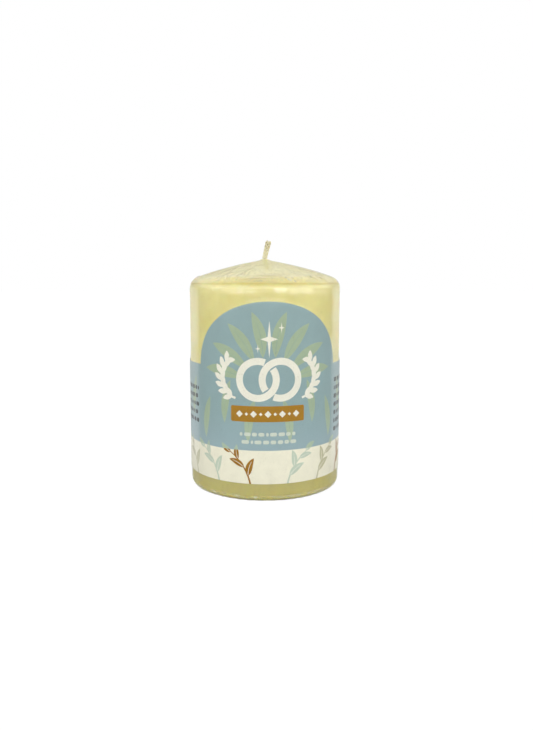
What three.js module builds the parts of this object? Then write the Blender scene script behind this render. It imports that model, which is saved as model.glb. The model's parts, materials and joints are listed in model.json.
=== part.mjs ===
// A shrink-wrapped pillar candle: a pressed wax core inside a dipped wax skin, a braided wick
// held by a metal tab, a paper wrap label with an arched front, and a clear film over it all.
// Millimetres, +Z up. The origin is the centre of the face the candle stands on, and the
// label's arch faces -Y.
import * as THREE from "three";

// Wax pillar
const WAX_RADIUS = 35;
const WAX_BASE_Z = 0.1; // the wax stands on the film that folds under it
const WAX_TOP_Z = 104.8; // where the dome would come to a point on the axis
const DOME_SLOPE = 0.215; // fall per millimetre of radius at the axis
const DOME_BEND = 0.0012; // how much steeper the dome gets, per millimetre squared
const SHOULDER_ROUND = 6;
const WAX_EDGE_ROUND = 1.2;
const SKIN_THICKNESS = 1.5;
const FIT_GAP = 0.05; // between pieces that touch on the real candle

// Wick
const WICK_RADIUS = 1.2;
const WICK_BORE_RADIUS = 1.35;
const WICK_LEAN_DEG = 14; // towards +X
const WICK_TIP_LENGTH = 7.8; // from the bend to the cut end
const WICK_BALL_GAP = 0.15; // between the tip's round foot and the stem
const WICK_END_CHAMFER = 0.2;

// Metal tab that holds the wick's foot
const TAB_RADIUS = 7.5;
const TAB_THICKNESS = 0.3;
const TAB_NECK_RADIUS = 1.65;
const TAB_NECK_HEIGHT = 6.3;
const TAB_CLEARANCE = 0.25;

// Paper label
const LABEL_RADIUS = 35.3; // inner face
const LABEL_THICKNESS = 0.12;
const LABEL_BOTTOM_Z = 7.9;
const BAND_TOP_Z = 58.5;
const ARCH_TOP_Z = 86.3;
const ARCH_HALF_WIDTH = 34.8; // along the paper
const LAP_WIDTH = 8; // where the label's ends overlap, at the back
const LAP_RISE_WIDTH = 3; // over which the upper end climbs onto the lower one
const GLUE_THICKNESS = 0.06;
const GLUE_GAP = 0.03;
const GLUE_WIDTH = 6;
const GLUE_MARGIN = 2; // from the label's top and bottom edges

// Shrink film
const FILM_THICKNESS = 0.08;
const FILM_RADIUS = 35.84; // outer face, over the label
const FILM_TOP_Z = 105; // where the film's dome would come to a point
const FILM_EDGE_ROUND = 1.4;
const FILM_TOP_HOLE_RADIUS = 3.5;
const FILM_BASE_HOLE_RADIUS = 21;

const TURN_SEGMENTS = 64;
const SMALL_TURN_SEGMENTS = 24;
const DOME_STEPS = 5;
const ROUND_STEPS = 6;
const BAND_COLUMNS = 60; // around the label behind the arch
const ARCH_COLUMNS = 40;

const domeZ = (top, radius) => top - DOME_SLOPE * radius - DOME_BEND * radius ** 2;

/** Angle of the shoulder's arc where it meets the dome, for a pillar of this radius. */
function shoulderStart(radius) {
  let meeting = radius;
  let angle = 0;
  for (let i = 0; i < 8; i++) {
    angle = Math.PI / 2 - Math.atan(DOME_SLOPE + 2 * DOME_BEND * meeting);
    meeting = radius - SHOULDER_ROUND + SHOULDER_ROUND * Math.cos(angle);
  }
  return { angle, meeting };
}

/** Half outline of the pillar, from the hole round the wick, over the dome, down the side
 *  and round the foot, ending flat on the base plane at endRadius. */
function pillarOutline({ radius, top, base, edge, holeRadius, endRadius }) {
  const { angle, meeting } = shoulderStart(radius);
  const slopeAtHole = DOME_SLOPE + 2 * DOME_BEND * holeRadius;
  const middle = (holeRadius + meeting) / 2;
  const shoulderZ = domeZ(top, meeting) - SHOULDER_ROUND * Math.sin(angle);
  const dome = new THREE.QuadraticBezierCurve(
    new THREE.Vector2(holeRadius, domeZ(top, holeRadius)),
    new THREE.Vector2(middle, domeZ(top, holeRadius) - slopeAtHole * (middle - holeRadius)),
    new THREE.Vector2(meeting, domeZ(top, meeting)),
  );
  const points = dome.getPoints(DOME_STEPS);
  points.push(...arcPoints(radius - SHOULDER_ROUND, shoulderZ, SHOULDER_ROUND, angle, 0));
  points.push(...arcPoints(radius - edge, base + edge, edge, 0, -Math.PI / 2));
  points.push(new THREE.Vector2(endRadius, base));
  return points;
}

function arcPoints(x, z, round, from, to) {
  const arc = new THREE.EllipseCurve(x, z, round, round, from, to, to < from);
  const points = arc.getPoints(ROUND_STEPS);
  return from === 0 ? points : points.slice(1);
}

/** A closed ring turned about Z from points given as (radius, height). */
function turned(points, segments = TURN_SEGMENTS) {
  const area = THREE.ShapeUtils.area(points);
  const profile = area < 0 ? [...points].reverse() : [...points];
  profile.push(profile[0].clone());
  return new THREE.LatheGeometry(profile, segments).rotateX(Math.PI / 2);
}

const point = (radius, height) => new THREE.Vector2(radius, height);

function waxOutline(inset, holeRadius) {
  return pillarOutline({
    radius: WAX_RADIUS - inset,
    top: WAX_TOP_Z - inset,
    base: WAX_BASE_Z,
    edge: WAX_EDGE_ROUND,
    holeRadius,
    endRadius: WAX_RADIUS - inset - WAX_EDGE_ROUND,
  });
}

/** The pillar's outline with a square foot, for the faces where core and skin meet. */
function innerOutline(inset) {
  const points = waxOutline(inset, WICK_BORE_RADIUS);
  const side = points.filter((p) => p.y > WAX_BASE_Z + WAX_EDGE_ROUND + FIT_GAP);
  return [...side, point(WAX_RADIUS - inset, WAX_BASE_Z)];
}

function waxCore() {
  const recessRadius = TAB_RADIUS + TAB_CLEARANCE;
  const recessRoof = WAX_BASE_Z + TAB_THICKNESS + TAB_CLEARANCE;
  const neckRadius = TAB_NECK_RADIUS + TAB_CLEARANCE;
  const neckRoof = WAX_BASE_Z + TAB_NECK_HEIGHT + TAB_CLEARANCE;
  return turned([
    ...innerOutline(SKIN_THICKNESS + FIT_GAP),
    point(recessRadius, WAX_BASE_Z),
    point(recessRadius, recessRoof),
    point(neckRadius, recessRoof),
    point(neckRadius, neckRoof),
    point(WICK_BORE_RADIUS, neckRoof),
  ]);
}

function waxOverdip() {
  const outer = waxOutline(0, WICK_BORE_RADIUS);
  const inner = innerOutline(SKIN_THICKNESS).reverse();
  return turned([...outer, ...inner]);
}

function wickTab() {
  const bore = WICK_RADIUS + FIT_GAP;
  const discTop = WAX_BASE_Z + TAB_THICKNESS;
  return turned(
    [
      point(bore, WAX_BASE_Z),
      point(TAB_RADIUS, WAX_BASE_Z),
      point(TAB_RADIUS, discTop),
      point(TAB_NECK_RADIUS + TAB_THICKNESS, discTop),
      point(TAB_NECK_RADIUS, discTop + TAB_THICKNESS),
      point(TAB_NECK_RADIUS, WAX_BASE_Z + TAB_NECK_HEIGHT),
      point(bore, WAX_BASE_Z + TAB_NECK_HEIGHT),
    ],
    SMALL_TURN_SEGMENTS,
  );
}

const bendZ = domeZ(WAX_TOP_Z, WICK_BORE_RADIUS) + WICK_BORE_RADIUS;
const stemTopZ = bendZ - WICK_RADIUS - WICK_BALL_GAP;

/** The part of the wick inside the wax, from its foot in the tab to the top of the pillar. */
function wickStem() {
  const foot = WAX_BASE_Z + FIT_GAP;
  const stem = new THREE.CylinderGeometry(
    WICK_RADIUS,
    WICK_RADIUS,
    stemTopZ - foot,
    SMALL_TURN_SEGMENTS,
  );
  return stem.rotateX(Math.PI / 2).translate(0, 0, (stemTopZ + foot) / 2);
}

/** The bare end of the wick, standing on +Z with its round foot centred on the bend. */
function wickTip() {
  const foot = new THREE.EllipseCurve(0, 0, WICK_RADIUS, WICK_RADIUS, -Math.PI / 2, 0);
  const profile = foot.getPoints(ROUND_STEPS);
  profile[0].x = 0;
  profile.push(
    point(WICK_RADIUS, WICK_TIP_LENGTH - WICK_END_CHAMFER),
    point(WICK_RADIUS - WICK_END_CHAMFER, WICK_TIP_LENGTH),
    point(0, WICK_TIP_LENGTH),
  );
  return new THREE.LatheGeometry(profile, SMALL_TURN_SEGMENTS).rotateX(Math.PI / 2);
}

/** A closed sheet bent round Z. Each column is {angle, inner, outer, bottom, top}, with the
 *  angle measured from -Y towards +X. */
function bentSheet(columns) {
  const positions = [];
  for (const { angle, inner, outer, bottom, top } of columns) {
    const [x, y] = [Math.sin(angle), -Math.cos(angle)];
    for (const [radius, height] of [[inner, bottom], [outer, bottom], [outer, top], [inner, top]]) {
      positions.push(x * radius, y * radius, height);
    }
  }
  const index = [0, 1, 2, 0, 2, 3];
  const last = (columns.length - 1) * 4;
  index.push(last, last + 2, last + 1, last, last + 3, last + 2);
  for (let column = 0; column < columns.length - 1; column++) {
    for (let side = 0; side < 4; side++) {
      const a = column * 4 + side;
      const b = column * 4 + ((side + 1) % 4);
      index.push(a, a + 4, b + 4, a, b + 4, b);
    }
  }
  return new THREE.BufferGeometry()
    .setAttribute("position", new THREE.Float32BufferAttribute(positions, 3))
    .setIndex(index);
}

const labelMiddleRadius = LABEL_RADIUS + LABEL_THICKNESS / 2;
const lapHalfAngle = LAP_WIDTH / 2 / labelMiddleRadius;
const archHalfAngle = ARCH_HALF_WIDTH / labelMiddleRadius;

/** Height of the label's top edge at an angle from the front. */
function labelTop(angle) {
  const across = Math.min(1, Math.abs(angle) / archHalfAngle);
  return BAND_TOP_Z + (ARCH_TOP_Z - BAND_TOP_Z) * Math.sqrt(1 - across ** 2);
}

/** How far the label's upper end stands off, so that it lies on the lower end. */
function labelLift(angle) {
  const lift = LABEL_THICKNESS + GLUE_THICKNESS + 2 * GLUE_GAP;
  const rise = LAP_RISE_WIDTH / labelMiddleRadius;
  return lift * THREE.MathUtils.smoothstep(angle, Math.PI - lapHalfAngle - rise, Math.PI - lapHalfAngle);
}

function paperLabel() {
  const angles = [];
  const end = Math.PI + lapHalfAngle;
  for (let i = 0; i < BAND_COLUMNS / 2; i++) {
    angles.push(-end + ((end - archHalfAngle) * i) / (BAND_COLUMNS / 2));
  }
  for (let i = 0; i <= ARCH_COLUMNS; i++) {
    angles.push(-archHalfAngle * Math.cos((Math.PI * i) / ARCH_COLUMNS));
  }
  for (let i = 1; i <= BAND_COLUMNS / 2; i++) {
    angles.push(archHalfAngle + ((end - archHalfAngle) * i) / (BAND_COLUMNS / 2));
  }
  return bentSheet(
    angles.map((angle) => ({
      angle,
      inner: LABEL_RADIUS + labelLift(angle),
      outer: LABEL_RADIUS + LABEL_THICKNESS + labelLift(angle),
      bottom: LABEL_BOTTOM_Z,
      top: labelTop(angle),
    })),
  );
}

function glueStrip() {
  const inner = LABEL_RADIUS + LABEL_THICKNESS + GLUE_GAP;
  const half = GLUE_WIDTH / 2 / inner;
  const steps = 6;
  const columns = [];
  for (let i = 0; i <= steps; i++) {
    columns.push({
      angle: Math.PI - half + (2 * half * i) / steps,
      inner,
      outer: inner + GLUE_THICKNESS,
      bottom: LABEL_BOTTOM_Z + GLUE_MARGIN,
      top: BAND_TOP_Z - GLUE_MARGIN,
    });
  }
  return bentSheet(columns);
}

function filmOutline(inset) {
  return pillarOutline({
    radius: FILM_RADIUS - inset,
    top: FILM_TOP_Z - inset,
    base: inset,
    edge: FILM_EDGE_ROUND,
    holeRadius: FILM_TOP_HOLE_RADIUS,
    endRadius: FILM_BASE_HOLE_RADIUS,
  });
}

function shrinkFilm() {
  return turned([...filmOutline(0), ...filmOutline(FILM_THICKNESS).reverse()]);
}

const materials = {
  core: new THREE.MeshStandardMaterial({ color: 0xe6dfb0, roughness: 0.6 }),
  skin: new THREE.MeshStandardMaterial({ color: 0xdbd28f, roughness: 0.35 }),
  cotton: new THREE.MeshStandardMaterial({ color: 0xd9cfa4, roughness: 0.85 }),
  tin: new THREE.MeshStandardMaterial({ color: 0xc4c4c0, roughness: 0.3, metalness: 1 }),
  paper: new THREE.MeshStandardMaterial({ color: 0x93aeb2, roughness: 0.55 }),
  glue: new THREE.MeshStandardMaterial({ color: 0xd8c27a, roughness: 0.4 }),
  film: new THREE.MeshStandardMaterial({
    color: 0xffffff,
    roughness: 0.08,
    transparent: true,
    opacity: 0.15,
  }),
};

const candle = new THREE.Group();

function add(name, geometry, material) {
  const mesh = new THREE.Mesh(geometry, material);
  mesh.name = name;
  candle.add(mesh);
  return mesh;
}

add("wax_core", waxCore(), materials.core);
add("wax_overdip", waxOverdip(), materials.skin);
add("wick_tab", wickTab(), materials.tin);
add("wick_stem", wickStem(), materials.cotton);
add("paper_label", paperLabel(), materials.paper);
add("label_glue_strip", glueStrip(), materials.glue);
add("shrink_film", shrinkFilm(), materials.film);

const tip = add("wick_tip", wickTip(), materials.cotton);
tip.position.set(0, 0, bendZ);
tip.rotation.y = THREE.MathUtils.degToRad(WICK_LEAN_DEG);

export default candle;
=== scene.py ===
"""The looks of a pillar candle in shrink film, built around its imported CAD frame.

Shapes are worked out in millimetres, as on the real candle, and turned to metres when a mesh
is made. Angles round the candle are measured from the front (-Y) towards +X.
"""

import json
import math
import random

import bmesh
import bpy
import numpy as np
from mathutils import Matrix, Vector, noise
from mathutils.geometry import delaunay_2d_cdt


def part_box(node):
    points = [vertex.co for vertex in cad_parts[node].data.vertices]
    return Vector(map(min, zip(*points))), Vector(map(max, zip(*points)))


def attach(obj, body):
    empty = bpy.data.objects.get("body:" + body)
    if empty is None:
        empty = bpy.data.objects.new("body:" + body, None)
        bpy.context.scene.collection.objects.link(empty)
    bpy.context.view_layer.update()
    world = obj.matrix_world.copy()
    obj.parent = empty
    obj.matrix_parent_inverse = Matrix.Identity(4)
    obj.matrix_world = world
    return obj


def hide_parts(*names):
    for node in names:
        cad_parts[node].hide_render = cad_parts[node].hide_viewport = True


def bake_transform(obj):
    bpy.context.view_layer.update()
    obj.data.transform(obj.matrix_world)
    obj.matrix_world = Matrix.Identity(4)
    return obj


MM = 0.001
TURN = 2 * math.pi

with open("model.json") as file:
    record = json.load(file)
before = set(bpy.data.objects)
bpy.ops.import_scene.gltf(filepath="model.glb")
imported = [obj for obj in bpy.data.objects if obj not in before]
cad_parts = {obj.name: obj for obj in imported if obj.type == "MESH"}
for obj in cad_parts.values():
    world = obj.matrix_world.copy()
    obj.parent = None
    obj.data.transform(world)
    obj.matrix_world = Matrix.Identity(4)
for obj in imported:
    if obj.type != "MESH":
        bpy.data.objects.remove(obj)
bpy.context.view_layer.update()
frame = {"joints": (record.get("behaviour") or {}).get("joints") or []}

random.seed(7)


def corners(node):
    """Lowest and highest corner of a CAD node, in millimetres."""
    low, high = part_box(node)
    return low / MM, high / MM


# ---------------------------------------------------------------- sizes, from the frame

skin_low, skin_high = corners("wax_overdip")
core_high = corners("wax_core")[1]
tab_low, tab_high = corners("wick_tab")
stem_low, stem_high = corners("wick_stem")
tip_high = corners("wick_tip")[1]
label_low, label_high = corners("paper_label")
glue_low, glue_high = corners("label_glue_strip")
film_low = corners("shrink_film")[0]

WAX_RADIUS = skin_high.x
WAX_BASE = skin_low.z
SKIN_THICKNESS = WAX_RADIUS - core_high.x
BORE_RADIUS = stem_high.x + 0.15
DOME_SLOPE = 0.17  # fall per millimetre of radius at the axis
DOME_BEND = 0.0027
DOME_TOP = skin_high.z + DOME_SLOPE * BORE_RADIUS + DOME_BEND * BORE_RADIUS**2
SHOULDER_ROUND = 6.0
WAX_EDGE_ROUND = 1.6

LABEL_OUTER = -label_low.y
LABEL_THICKNESS = 0.12
LABEL_BOTTOM = label_low.z
ARCH_TOP = label_high.z
BAND_TOP = 58.5
ARCH_HALF_WIDTH = 34.8
LAP_WIDTH = 8.0
LAP_LIFT = 0.24  # the upper end lies on the lower end and the glue
LABEL_HALF_LENGTH = math.pi * LABEL_OUTER + LAP_WIDTH / 2

FILM_THICKNESS = 0.03
FILM_CLEARANCE = 0.09  # between film and wax over the dome
SIDE_GAP = 0.36  # the same beside the label
FAR_GAP = 0.06  # the same at the sides and the back
LABEL_GAP = 0.07  # between film and label
FLOOR_CLEARANCE = 0.005
CREASE_HEIGHT = 93.6  # where the film's wrinkled cap meets its smooth side
DRUM_HEIGHT = 85.5  # the side is drawn in above this
TOP_HALF = 50  # any height between the candle's top and its base

PIVOT = Vector(frame["joints"][0]["pos_m"]) / MM
WICK_RADIUS = stem_high.x
WICK_LEAN = math.radians(14)
BEND_START = PIVOT.z - 1.3
BEND_END = PIVOT.z + 0.9


# ---------------------------------------------------------------- mesh helpers


def ramp(value, low, high):
    """Smooth 0 to 1 as value goes from low to high."""
    t = np.clip((value - low) / (high - low), 0, 1)
    return t * t * (3 - 2 * t)


def noise_at(points, size, seed):
    """Smooth noise of about -0.5 to 0.5 at each point, with bumps of about that size in mm."""
    shift = Vector((seed * 13.7, seed * 5.3, seed * 9.1))
    flat = np.asarray(points, float).reshape(-1, 3) / size
    values = [noise.noise(Vector(p) + shift) for p in flat.tolist()]
    return np.array(values).reshape(np.shape(points)[:-1])


def place(angle, radius, height):
    """Points at angles round the candle, as an array of x, y, z."""
    return np.stack([radius * np.sin(angle), -radius * np.cos(angle), height + 0 * angle], axis=-1)


def new_piece(name, vertices, faces, smooth_angle=40):
    """A closed mesh object, from vertices in mm, with its faces turned outwards."""
    mesh = bpy.data.meshes.new(name)
    mesh.from_pydata((np.asarray(vertices, float) * MM).tolist(), [], faces)
    shape = bmesh.new()
    shape.from_mesh(mesh)
    bmesh.ops.recalc_face_normals(shape, faces=shape.faces)
    shape.to_mesh(mesh)
    shape.free()
    mesh.shade_smooth()
    mesh.set_sharp_from_angle(angle=math.radians(smooth_angle))
    piece = bpy.data.objects.new(name, mesh)
    bpy.context.scene.collection.objects.link(piece)
    return piece


def ring_faces(rows, columns):
    """Quads of a grid that closes on itself both ways, as a doughnut does."""
    row, column = np.meshgrid(np.arange(rows), np.arange(columns), indexing="ij")
    next_row, next_column = (row + 1) % rows, (column + 1) % columns
    corner, corner_below = row * columns, next_row * columns
    quads = [corner + column, corner_below + column, corner_below + next_column, corner + next_column]
    return np.stack(quads, axis=-1).reshape(-1, 4).tolist()


def closed_piece(name, grid, smooth_angle):
    """A piece from a grid of points that closes on itself both ways."""
    faces = ring_faces(*grid.shape[:2])
    return new_piece(name, grid.reshape(-1, 3), faces, smooth_angle)


def turned(outline, columns):
    """Points of a closed outline of (radius, height) turned round the axis, rows by columns."""
    angles = np.arange(columns) * TURN / columns
    outline = np.asarray(outline, float)
    return place(angles[None, :], outline[:, 0:1], outline[:, 1:2])


def evenly(start, end, step):
    """Points from start up to, but not at, end, about step apart."""
    start, end = np.array(start, float), np.array(end, float)
    count = max(1, round(np.linalg.norm(end - start) / step))
    return [start + (end - start) * i / count for i in range(count)]


# ---------------------------------------------------------------- the pillar's outline


def dome_height(radius, top=DOME_TOP):
    return top - DOME_SLOPE * radius - DOME_BEND * radius**2


def shoulder_meeting(radius):
    """Where the dome runs into the shoulder's round: its angle and radius."""
    meeting = radius
    for _ in range(8):
        angle = math.pi / 2 - math.atan(DOME_SLOPE + 2 * DOME_BEND * meeting)
        meeting = radius - SHOULDER_ROUND + SHOULDER_ROUND * math.cos(angle)
    return angle, meeting


def pillar_outline(hole, end, inset=0.0, edge=WAX_EDGE_ROUND, steps=(0.6, 0.6, 0.9)):
    """Half outline of the wax from its wick hole, over the dome, down the side and round the
    foot, to a point on the base at radius end. Steps are the spacing of its points on the
    dome, round the shoulder and down the side."""
    step, round_step, side_step = steps
    radius, top = WAX_RADIUS - inset, DOME_TOP - inset
    angle, meeting = shoulder_meeting(radius)
    points = []
    dome_rows = round((meeting - hole) / step)
    for i in range(dome_rows):
        r = hole + (meeting - hole) * i / dome_rows
        points.append((r, dome_height(r, top)))
    middle = radius - SHOULDER_ROUND
    middle_height = dome_height(meeting, top) - SHOULDER_ROUND * math.sin(angle)
    rows = max(4, round(SHOULDER_ROUND * angle / round_step))
    for i in range(rows):
        a = angle * (1 - i / rows)
        points.append((middle + SHOULDER_ROUND * math.cos(a), middle_height + SHOULDER_ROUND * math.sin(a)))
    points += evenly((radius, middle_height), (radius, WAX_BASE + edge), side_step)
    foot_rows = 6
    for i in range(foot_rows):
        a = math.pi / 2 * i / foot_rows
        points.append((radius - edge + edge * math.cos(a), WAX_BASE + edge - edge * math.sin(a)))
    points += evenly((radius - edge, WAX_BASE), (end, WAX_BASE), step * 1.5)
    points.append(np.array((end, WAX_BASE), float))
    return np.array(points)


def outline_normals(outline):
    """Unit normals of an open outline that runs from the top hole to the foot."""
    along = np.gradient(outline, axis=0)
    along /= np.linalg.norm(along, axis=1, keepdims=True)
    return np.stack([-along[:, 1], along[:, 0]], axis=1)


SHOULDER_ANGLE, SHOULDER_MEETING = shoulder_meeting(WAX_RADIUS)
SHOULDER_HEIGHT = dome_height(SHOULDER_MEETING) - SHOULDER_ROUND * math.sin(SHOULDER_ANGLE)
HIDDEN_STEPS = (1.5, 0.6, 4.0)  # spacing of the outline's points where no one sees it


# ---------------------------------------------------------------- materials


def linear(red, green, blue):
    """A colour given as 0 to 255 on screen, as the linear colour that shaders use."""
    channels = [c / 255 for c in (red, green, blue)]
    channels = [c / 12.92 if c <= 0.04045 else ((c + 0.055) / 1.055) ** 2.4 for c in channels]
    return (*channels, 1.0)


class Nodes:
    """A node tree, with short calls to add and join its nodes."""

    def __init__(self, owner):
        owner.use_nodes = True
        self.owner = owner
        self.tree = owner.node_tree
        self.tree.nodes.clear()

    def node(self, kind, settings=None, **inputs):
        made = self.tree.nodes.new("ShaderNode" + kind)
        for key, value in (settings or {}).items():
            setattr(made, key, value)
        for key, value in inputs.items():
            self.put(made.inputs[key.replace("_", " ")], value)
        return made

    def put(self, socket, value):
        if isinstance(value, bpy.types.NodeSocket):
            self.tree.links.new(value, socket)
        elif isinstance(value, bpy.types.Node):
            self.tree.links.new(value.outputs[0], socket)
        else:
            socket.default_value = value

    def maths(self, operation, a, b=0.0, clamp=False):
        made = self.node("Math", {"operation": operation, "use_clamp": clamp})
        self.put(made.inputs[0], a)
        self.put(made.inputs[1], b)
        return made.outputs[0]

    def plus(self, a, b, clamp=False):
        return self.maths("ADD", a, b, clamp)

    def times(self, a, b):
        return self.maths("MULTIPLY", a, b)

    def length(self, x, y):
        return self.maths("SQRT", self.plus(self.times(x, x), self.times(y, y)))

    def mixed(self, share, a, b):
        """A share of colour b in colour a."""
        made = self.node("Mix", {"data_type": "RGBA"})
        for number, value in ((0, share), (6, a), (7, b)):
            self.put(made.inputs[number], value)
        return made.outputs[2]

    def layered(self, share, a, b):
        """A share of surface b in surface a."""
        made = self.node("MixShader", Fac=share)
        self.put(made.inputs[1], a)
        self.put(made.inputs[2], b)
        return made

    def place(self, stretch=(1, 1, 1)):
        """The point being shaded, in millimetres, stretched."""
        where = self.node("TexCoord").outputs["Object"]
        scale = tuple(s / MM for s in stretch)
        return self.node("Mapping", Vector=where, Scale=scale).outputs[0]

    def parts(self, point):
        """X, Y and Z of a point."""
        return self.node("SeparateXYZ", Vector=point).outputs

    def grain(self, size, detail=2.0, roughness=0.5, stretch=(1, 1, 1)):
        """Noise from 0 to 1 with features of about that size in millimetres."""
        where = self.place(stretch)
        made = self.node("TexNoise", Vector=where, Scale=1 / size, Detail=detail, Roughness=roughness)
        return made.outputs["Fac"]

    def spread(self, value, low, high, out_low=0.0, out_high=1.0):
        """Out_low to out_high as value goes from low to high."""
        made = self.node("MapRange")
        for socket, number in zip(made.inputs, (value, low, high, out_low, out_high)):
            self.put(socket, number)
        return made.outputs[0]

    def between(self, share, a, b):
        """A number a share of the way from a to b."""
        return self.spread(share, 0.0, 1.0, a, b)

    def bump(self, height, depth, normal=None):
        """A bump of that depth in millimetres."""
        made = self.node("Bump", Height=height, Distance=depth * MM, Strength=1.0)
        if normal:
            self.put(made.inputs["Normal"], normal)
        return made.outputs[0]

    def finish(self, surface, kind="OutputMaterial"):
        self.put(self.node(kind).inputs["Surface"], surface)
        return self.owner

    def solid(self, **inputs):
        """The material, finished as an opaque or waxy solid."""
        return self.finish(self.node("BsdfPrincipled", **inputs))


def Shader(name):
    return Nodes(bpy.data.materials.new(name))


WAX_PALE = linear(233, 225, 152)
WAX_DEEP = linear(225, 215, 137)
WAX_FROST = linear(250, 246, 214)
# Painted shade: the colour near the wick is darker and less yellow than the rest of the wax.
WAX_PAINTED_SHADE_BY_WICK = linear(222, 214, 160)
# Painted shade: the foot's colour is darker, standing in for the light that reaches the wax less there.
WAX_FOOT_PAINTED_SHADE = linear(201, 193, 125)  # less light gets into the wax low down
WAX_GLOW = (1.0, 0.75, 0.35)  # how far red, green and blue light run inside wax


def wax_material():
    """Dipped paraffin: cloudy ivory with a soft sheen, and faint frost where it cooled."""
    s = Shader("dipped_wax")
    cloud = s.spread(s.grain(9, detail=3), 0.3, 0.7)
    frost = s.spread(s.grain(0.9, detail=4, roughness=0.6), 0.55, 0.8)
    colour = s.mixed(cloud, WAX_DEEP, WAX_PALE)
    colour = s.mixed(s.times(frost, 0.2), colour, WAX_FROST)
    # Painted shade: the wax is darkened towards the foot, where less light gets into it.
    low = s.spread(s.parts(s.place())["Z"], 8, 48, 1.0, 0.0)
    colour = s.mixed(low, colour, WAX_FOOT_PAINTED_SHADE)
    # Painted shade: the wax close to the wick is toned darker and less yellow.
    axis = s.node("VectorMath", {"operation": "LENGTH"}, Vector=s.place((1, 1, 0))).outputs["Value"]
    colour = s.mixed(s.spread(axis, 2.0, 5.0, 1.0, 0.0), colour, WAX_PAINTED_SHADE_BY_WICK)
    height = s.plus(s.grain(1.6, detail=3), s.times(s.grain(0.25), 0.25))
    return s.solid(
        Base_Color=colour,
        Roughness=s.spread(s.grain(2.5), 0.3, 0.7, 0.3, 0.48),
        Specular_IOR_Level=0.45,
        Normal=s.bump(height, 0.035),
        Subsurface_Weight=1.0,
        Subsurface_Radius=WAX_GLOW,
        Subsurface_Scale=1.2 * MM,
    )


def core_material():
    """Pressed wax: packed grains that show as pale crumbs with fine dark seams."""
    s = Shader("pressed_wax")
    cells = s.node("TexVoronoi", {"feature": "F1"}, Vector=s.place(), Scale=1 / 0.9, Randomness=1.0)
    seams = s.node("TexVoronoi", {"feature": "DISTANCE_TO_EDGE"}, Vector=s.place(), Scale=1 / 0.9)
    grains = s.mixed(cells.outputs["Color"], linear(224, 214, 150), linear(246, 240, 200))
    edge = s.spread(seams.outputs["Distance"], 0.0, 0.08)
    colour = s.mixed(edge, linear(205, 192, 124), grains)
    return s.solid(
        Base_Color=colour,
        Roughness=s.spread(s.grain(1.5), 0.3, 0.7, 0.5, 0.7),
        Normal=s.bump(edge, 0.06),
        Subsurface_Weight=0.6,
        Subsurface_Radius=WAX_GLOW,
        Subsurface_Scale=1.0 * MM,
    )


def tin_material():
    """Tin plate with rolled scratches along X and a few dull spots."""
    s = Shader("tin_plate")
    scratches = s.grain(0.12, detail=3, stretch=(0.04, 1, 1))
    spots = s.spread(s.grain(1.4, detail=3), 0.5, 0.7)
    shine = s.spread(scratches, 0.3, 0.7, 0.22, 0.36)
    return s.solid(
        Base_Color=s.mixed(spots, linear(206, 205, 198), linear(172, 170, 160)),
        Metallic=1.0,
        Roughness=s.plus(shine, s.times(spots, 0.12)),
        Normal=s.bump(scratches, 0.01),
    )


def wick_material():
    """Waxed cotton: yarn fibres under a thin skin of wax that dulls towards the tip."""
    s = Shader("waxed_cotton")
    dry = s.spread(s.parts(s.place())["Z"], PIVOT.z, tip_high.z)
    fibres = s.grain(0.09, detail=3, stretch=(1, 1, 0.25))
    cotton = s.mixed(fibres, linear(176, 166, 126), linear(212, 204, 170))
    primed = s.mixed(fibres, linear(208, 200, 160), linear(234, 227, 194))
    return s.solid(
        Base_Color=s.mixed(dry, primed, cotton),
        Roughness=s.spread(dry, 0, 1, 0.5, 0.8),
        Normal=s.bump(fibres, 0.05),
        Sheen_Weight=0.2,
        Subsurface_Weight=0.3,
        Subsurface_Radius=(1.0, 0.8, 0.5),
        Subsurface_Scale=0.5 * MM,
    )


def ink_material(name, colour, foot=None, sheen=0.35, strength=0.045):
    """A flat ink on coated paper, with the paper's fibres and slightly uneven cover. It can fade
    to a second colour at the foot."""
    s = Shader(name)
    fibres = s.grain(0.35, detail=4, roughness=0.6)
    patches = s.grain(5.0, detail=2)
    dark = (*(c * (1 - 2 * strength) for c in colour[:3]), 1.0)
    light = (*(min(1, c * (1 + strength) + strength * 0.1) for c in colour[:3]), 1.0)
    cover = s.plus(s.times(fibres, 0.6), s.times(patches, 0.4))
    shade = s.mixed(s.spread(cover, 0.3, 0.7), dark, light)
    if foot:
        low = s.spread(s.parts(s.place())["Z"], 22, 40, 1.0, 0.0)
        shade = s.mixed(low, shade, foot)
    return s.solid(
        Base_Color=shade,
        Roughness=s.spread(fibres, 0.3, 0.7, 0.42, 0.58),
        Specular_IOR_Level=sheen,
        Normal=s.bump(fibres, 0.008),
    )


def glue_material():
    """Amber hot-melt glue."""
    s = Shader("hot_melt_glue")
    flow = s.grain(1.2, detail=2)
    return s.solid(
        Base_Color=s.mixed(flow, linear(206, 176, 96), linear(230, 208, 140)),
        Roughness=s.spread(flow, 0.3, 0.7, 0.25, 0.4),
        Normal=s.bump(flow, 0.03),
        Subsurface_Weight=0.5,
        Subsurface_Scale=0.5 * MM,
    )


FILM_IOR = 1.46
MOST_MIRRORED = 0.26  # thin, slack film never turns into a full mirror
CLEAR = (0.985, 0.985, 0.98, 1)
# Painted shade: the see-through colour along folds and creases, darkened.
CLEAR_WITH_PAINTED_FOLD_SHADE = (0.75, 0.69, 0.47, 1)
MILKY = (0.97, 0.95, 0.76, 1)


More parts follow.
